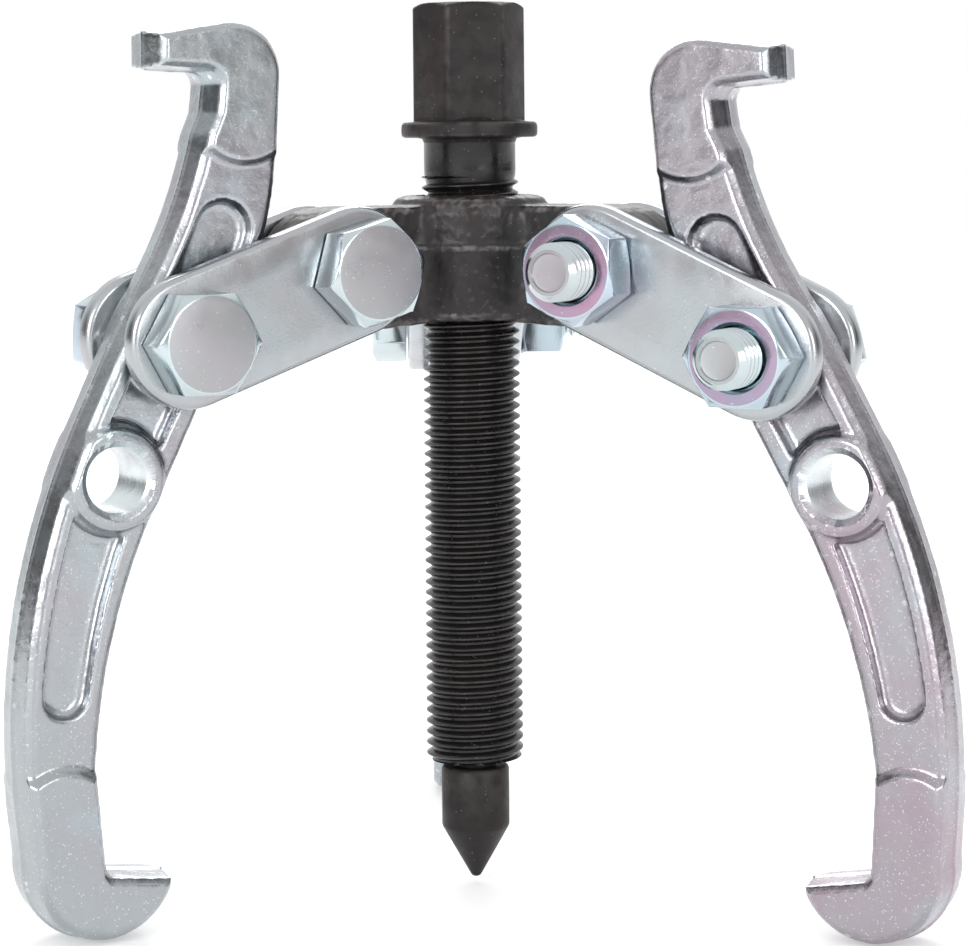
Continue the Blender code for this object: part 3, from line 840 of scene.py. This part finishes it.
def zinc(name, plain, blush, cool, rough, share, forged=False, painted_edge_highlight=0.0):
    """Plated metal. The share is that of the specks, which are painted glints, and sharp edges get a cold
    pale painted highlight.
    """
    material, tree, shader, place = new_material(name)
    colour = use(tree, film, {
        "Vector": place, "Plain": (*plain, 1), "Blush": (*blush, 1), "Cool": (*cool, 1),
    })["Color"]
    # Sharp edges get a pale cyan painted highlight, for the light they catch at a grazing angle.
    if painted_edge_highlight:
        rim = use(tree, wear_and_highlight, {"Vector": place, "Start": 0.515, "End": 0.56, "Breakup": 90.0})["Mask"]
        colour = mix_colour(tree, product(tree, rim, painted_edge_highlight), colour, (0.86, 0.94, 0.95, 1))
    # The white specks are painted glints, the sparkle of the forged skin.
    bright = use(tree, specks, {"Vector": place, "Fineness": 4200.0, "Share": share})["Mask"]
    colour = mix_colour(tree, product(tree, bright, 0.6), colour, (0.97, 0.97, 0.98, 1))
    tree.links.new(colour, shader.inputs["Base Color"])
    skin = use(tree, grain, {"Vector": place, "Fineness": 1500.0 if forged else 2600.0,
                             "Pits": 0.6 if forged else 0.1})
    tree.links.new(
        scaled(tree, skin["Patches"], 0.3, 0.7, rough - 0.05, rough + 0.07),
        shader.inputs["Roughness"],
    )
    bump = add(tree, "ShaderNodeBump", {
        "Height": skin["Height"], "Strength": 0.5 if forged else 0.18, "Distance": 0.06 * MM,
    })
    tree.links.new(bump.outputs[0], shader.inputs["Normal"])
    shader.inputs["Metallic"].default_value = 1.0
    return material


finishes = {
    "left_jaw": zinc(
        "jaw_zinc_grey", (0.39, 0.42, 0.435), (0.41, 0.405, 0.44), (0.42, 0.51, 0.55),
        rough=0.25, share=0.07, forged=True, painted_edge_highlight=0.75,
    ),
    "right_jaw": zinc(
        "jaw_zinc_mauve", (0.385, 0.37, 0.40), (0.39, 0.31, 0.36), (0.41, 0.46, 0.50),
        rough=0.25, share=0.12, forged=True, painted_edge_highlight=0.75,
    ),
    "rear_jaw": zinc(
        "jaw_zinc_cool", (0.40, 0.44, 0.46), (0.42, 0.41, 0.45), (0.42, 0.52, 0.56),
        rough=0.25, share=0.07, forged=True, painted_edge_highlight=0.75,
    ),
    "strap": zinc(
        "strap_zinc", (0.44, 0.465, 0.48), (0.44, 0.435, 0.46), (0.45, 0.51, 0.54),
        rough=0.24, share=0.004,
    ),
    # Bolt and nut sides get a paler, cooler copy of the zinc, a painted reflection of the bright room;
    # the faces square to the axis get a darker copy.
    "bolt": zinc(
        "bolt_zinc", (0.56, 0.64, 0.66), (0.54, 0.58, 0.60), (0.58, 0.70, 0.73),
        rough=0.16, share=0.01,
    ),
    "bolt_face": zinc(
        "bolt_zinc_face", (0.40, 0.41, 0.42), (0.42, 0.40, 0.43), (0.40, 0.44, 0.46),
        rough=0.32, share=0.02,
    ),
    "nut": zinc(
        "nut_zinc", (0.50, 0.60, 0.66), (0.50, 0.54, 0.64), (0.52, 0.68, 0.74),
        rough=0.16, share=0.01,
    ),
    "nut_face": zinc(
        "nut_zinc_face", (0.36, 0.30, 0.40), (0.44, 0.26, 0.36), (0.30, 0.34, 0.46),
        rough=0.20, share=0.02,
    ),
}
print("zinc finishes:", sorted(finishes))

# %% [markdown]
# ## Black oxide
#
# The oxide is a thin dark skin, so it is a dark dielectric with a half gloss rather than a paint. On
# sharp edges and the crests of the thread it is painted paler, partly as steel showing where hands and
# spanners rub it and partly as a painted highlight. The thread has a finish of its own, darker and
# glossier than the head.


# %%
def black(name, colour, rough, gloss, worn_and_highlit, start, end):
    """Blackened steel. Start and end are how sharp an edge is where its paler rub and painted highlight
    begin and end.
    """
    material, tree, shader, place = new_material(name)
    red, green, blue = colour
    tone = use(tree, film, {
        "Vector": place, "Patch Size": 70.0, "Plain": (red, green, blue, 1),
        "Blush": (red * 1.5, green * 1.25, blue * 1.2, 1),
        "Cool": (red * 0.8, green * 0.85, blue * 0.95, 1),
    })["Color"]
    # Sharp edges go paler: partly rubbed steel, partly a painted highlight.
    rim = use(tree, wear_and_highlight, {"Vector": place, "Start": start, "End": end, "Breakup": 420.0})["Mask"]
    tone = mix_colour(tree, product(tree, rim, worn_and_highlit), tone, (0.36, 0.33, 0.32, 1))
    dust = use(tree, specks, {"Vector": place, "Fineness": 3200.0, "Share": 0.03})["Mask"]
    tone = mix_colour(tree, product(tree, dust, 0.3), tone, (0.3, 0.28, 0.27, 1))
    tree.links.new(tone, shader.inputs["Base Color"])
    skin = use(tree, grain, {"Vector": place, "Fineness": 1300.0, "Pits": 0.7})
    tree.links.new(
        scaled(tree, skin["Patches"], 0.3, 0.7, rough - 0.08, rough + 0.14),
        shader.inputs["Roughness"],
    )
    bump = add(tree, "ShaderNodeBump", {
        "Height": skin["Height"], "Strength": 0.45, "Distance": 0.06 * MM,
    })
    tree.links.new(bump.outputs[0], shader.inputs["Normal"])
    shader.inputs["Metallic"].default_value = 0.0
    shader.inputs["Specular IOR Level"].default_value = gloss
    return material


finishes["yoke"] = black(
    "yoke_black", (0.021, 0.019, 0.020), rough=0.33, gloss=0.35, worn_and_highlit=0.8, start=0.506, end=0.54
)
finishes["screw"] = black(
    "screw_black", (0.020, 0.0175, 0.0175), rough=0.42, gloss=0.2, worn_and_highlit=0.3, start=0.52, end=0.60
)
finishes["screw_thread"] = black(
    "screw_thread_black", (0.007, 0.006, 0.006), rough=0.22, gloss=0.45, worn_and_highlit=0.3,
    start=0.53, end=0.62,
)
print(len(finishes), "finishes in all")

# %% [markdown]
# ## Handing the pieces over
#
# Each finished piece takes its material, rides on the body its plain twin belongs to, and stands in for
# that twin. Bolts, nuts and the screw take a second material, given face by face, which keeps each of
# them one piece. The record's slot name for each piece is looked up beside its finish, but nothing uses
# it.


# %%
def sort_of(name):
    """The finish and the record's slot that go with a piece's name."""
    for ending, finish, slot in (
        ("_jaw", name, "jaw_zinc"), ("_bolt", "bolt", "bolt_zinc"), ("_nut", "nut", "nut_zinc"),
        ("_side", "strap", "strap_zinc"), ("yoke", "yoke", "yoke_black"),
    ):
        if name.endswith(ending):
            return finish, slot
    return "screw", "screw_black"


def second_finish(name, item, finish):
    """Gives the screw's thread, or the faces square to a bolt's or nut's axis, its own finish. On bolts
    and nuts the split is painted reflection: paler sides, darker faces.
    """
    item.data.materials.append(finishes[finish])
    if finish == "screw_thread":
        for face in item.data.polygons:
            face.material_index = int(face.center.z < NECK_TOP * MM)
        return
    # On bolts and nuts the sides keep the paler copy, a painted reflection, and the faces take the darker
    # one.
    azimuth = math.radians(ARMS[name.split("_")[0]]["azimuth"])
    axis = Vector((-math.sin(azimuth), math.cos(azimuth), 0))
    for face in item.data.polygons:
        face.material_index = int(abs(face.normal.dot(axis)) > 0.995)


for name, item in made.items():
    item.name = f"fine_{name}"
    item.data.name = item.name
    finish, slot = sort_of(name)
    item.data.materials.clear()
    item.data.materials.append(finishes[finish])
    extra = {"bolt": "bolt_face", "nut": "nut_face", "screw": "screw_thread"}.get(finish)
    if extra and name != "centre_point":
        second_finish(name, item, extra)
    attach(item, frame["nodes"][name]["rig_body"])
    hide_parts(name)
print("handed over:", sorted(made))

# %% [markdown]
# ## The floor
#
# The puller stands on its three jaws, which are not set quite alike, so the floor is laid through the
# lowest spot of each. It is a plain white sheet that adds a little light of its own for the camera, and
# still keeps the soft shadow.

# %%
feet = []
for name in ARMS:
    mesh = made[f"{name}_jaw"].data
    feet.append(min((vertex.co.copy() for vertex in mesh.vertices), key=lambda co: co.z))
normal = (feet[1] - feet[0]).cross(feet[2] - feet[0]).normalized()
if normal.z < 0:
    normal.negate()
middle = sum(feet, Vector()) / 3
bpy.ops.object.select_all(action="DESELECT")
bpy.ops.mesh.primitive_plane_add(size=6.0)
floor = bpy.context.object
floor.name = "floor"
gap = normal * 0.02 * MM
lean = normal.to_track_quat("Z", "Y").to_matrix().to_4x4()
put(floor, Matrix.Translation(middle - gap) @ lean)
sheet, tree, shader, place = new_material("floor_white")
shader.inputs["Base Color"].default_value = (0.74, 0.74, 0.74, 1)
shader.inputs["Roughness"].default_value = 0.9
shader.inputs["Specular IOR Level"].default_value = 0.1
shader.inputs["Emission Color"].default_value = (1, 1, 1, 1)
path = add(tree, "ShaderNodeLightPath")
direct = add(tree, "ShaderNodeMath", {
    0: path.outputs["Is Camera Ray"], 1: path.outputs["Is Glossy Ray"],
}, operation="MAXIMUM").outputs[0]
tree.links.new(product(tree, direct, 0.34), shader.inputs["Emission Strength"])
floor.data.materials.append(sheet)
print("floor leans", round(math.degrees(normal.angle(Vector((0, 0, 1)))), 2), "degrees")

# %% [markdown]
# ## Light
#
# A bright metal shows what stands around it. The room is white behind and above, with two white screens
# beside the camera and a dim gap at each side, so that flat faces read grey while every bevelled edge
# catches a screen. The shades go round by the angle from straight behind the camera, alike on both sides.
# Three large lamps add soft highlights.

# %%
world = bpy.data.worlds.new("studio")
bpy.context.scene.world = world
world.use_nodes = True
tree = world.node_tree
sky = tree.nodes["Background"]
ray = add(tree, "ShaderNodeTexCoord").outputs["Generated"]
split = add(tree, "ShaderNodeSeparateXYZ", {0: ray})
aside = add(tree, "ShaderNodeMath", {0: split.outputs["X"]}, operation="ABSOLUTE")
front = add(tree, "ShaderNodeMath", {0: split.outputs["Y"], 1: -1.0}, operation="MULTIPLY")
bearing = add(tree, "ShaderNodeMath", {0: aside.outputs[0], 1: front.outputs[0]}, operation="ARCTAN2")
room = add(tree, "ShaderNodeValToRGB", {0: product(tree, bearing.outputs[0], 1 / math.pi)})
walls = room.color_ramp.elements
walls[0].position, walls[0].color = 0.0, (0.62, 0.60, 0.60, 1)
walls[1].position, walls[1].color = 1.0, (1, 1, 1, 1)
for turn, shade in (
    (24, (0.92, 0.89, 0.89)), (38, (0.90, 0.87, 0.87)), (52, (0.60, 0.56, 0.56)),
    (68, (0.47, 0.44, 0.44)), (88, (0.26, 0.25, 0.25)), (106, (0.07, 0.07, 0.07)),
    (122, (0.10, 0.10, 0.10)), (133, (0.97, 0.99, 1.0)),
):
    wall = walls.new(turn / 180)
    wall.color = (*shade, 1)
open_sky = scaled(tree, split.outputs["Z"], 0.2, 0.6)
path = add(tree, "ShaderNodeLightPath")
white = add(tree, "ShaderNodeMath", {
    0: open_sky, 1: path.outputs["Is Camera Ray"],
}, operation="MAXIMUM").outputs[0]
tree.links.new(
    mix_colour(tree, white, room.outputs["Color"], (1, 1, 1, 1)), sky.inputs["Color"]
)
sky.inputs["Strength"].default_value = 1.0


def lamp(name, place, target, size, power):
    """A square lamp at a place, turned to a target, both in metres, with its power in watts."""
    bpy.ops.object.select_all(action="DESELECT")
    bpy.ops.object.light_add(type="AREA", location=place)
    light = bpy.context.object
    light.name = name
    light.data.shape = "SQUARE"
    light.data.size = size
    light.data.energy = power
    aim = Vector(target) - Vector(place)
    light.rotation_euler = aim.to_track_quat("-Z", "Y").to_euler()


lamp("key", (-0.55, -0.95, 0.38), (0, 0, 0.06), size=0.42, power=4.2)
lamp("fill", (0.6, -0.95, 0.3), (0, 0, 0.06), size=0.42, power=2.2)
lamp("rim", (0.0, 0.8, 0.75), (0, 0, 0.07), size=0.6, power=5.0)

# %% [markdown]
# ## Camera
#
# A long lens, level with the middle of the yoke, a little to the left of the screw. The lens is shifted
# down rather than tipped, as on a view camera, so upright lines stay upright.

# %%
bpy.ops.object.select_all(action="DESELECT")
bpy.ops.object.camera_add()
camera = bpy.context.object
camera.data.lens = 108.2
camera.data.sensor_width = 36.0
camera.data.shift_x = 0.015
camera.data.shift_y = -0.343
place, pan, roll = (-0.01086, -0.41036, 0.1036), -1.516, -0.54
camera.matrix_world = (
    Matrix.Translation(place)
    @ turn_about("Z", pan) @ turn_about("X", 90) @ turn_about("Z", roll)
)
bpy.context.scene.camera = camera
bpy.context.scene.view_settings.view_transform = "Standard"
